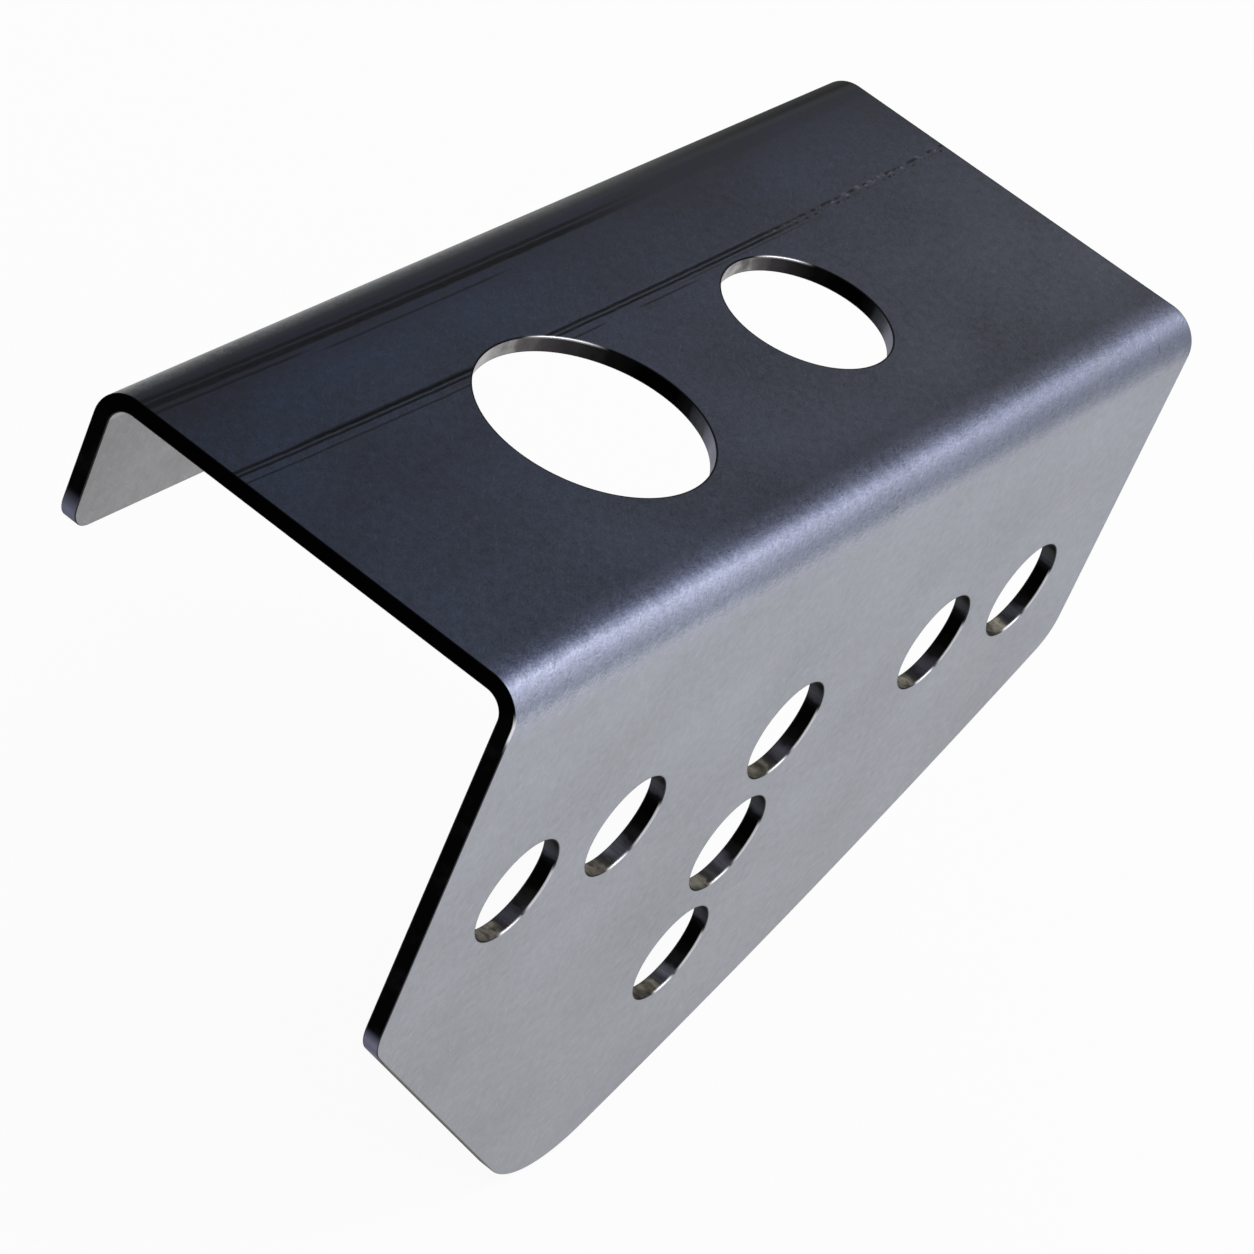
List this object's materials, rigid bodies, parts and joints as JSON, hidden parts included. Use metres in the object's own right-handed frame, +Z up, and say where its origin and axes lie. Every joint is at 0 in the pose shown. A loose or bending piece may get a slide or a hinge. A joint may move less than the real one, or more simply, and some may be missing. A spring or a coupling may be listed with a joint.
{
  "type": "button mounting bracket",
  "caption": "Folded steel sheet bracket: flat plate with large round holes, a pointed front flange drilled for push buttons and a short return flange at the back.",
  "frame": {"origin": "centre of the plate's large hole, on the top face", "axes": "+X along the folds to the right as seen from the front, +Y from the front flange to the return flange, +Z up out of the plate"},
  "size_m": [0.2, 0.083, 0.1362],
  "materials": {
    "sheet": "raw rolled steel sheet, satin, with faint scratches and dark cut edges"
  },
  "bodies": {
    "root": {"bracket": "sheet"}
  },
  "joints": []
}
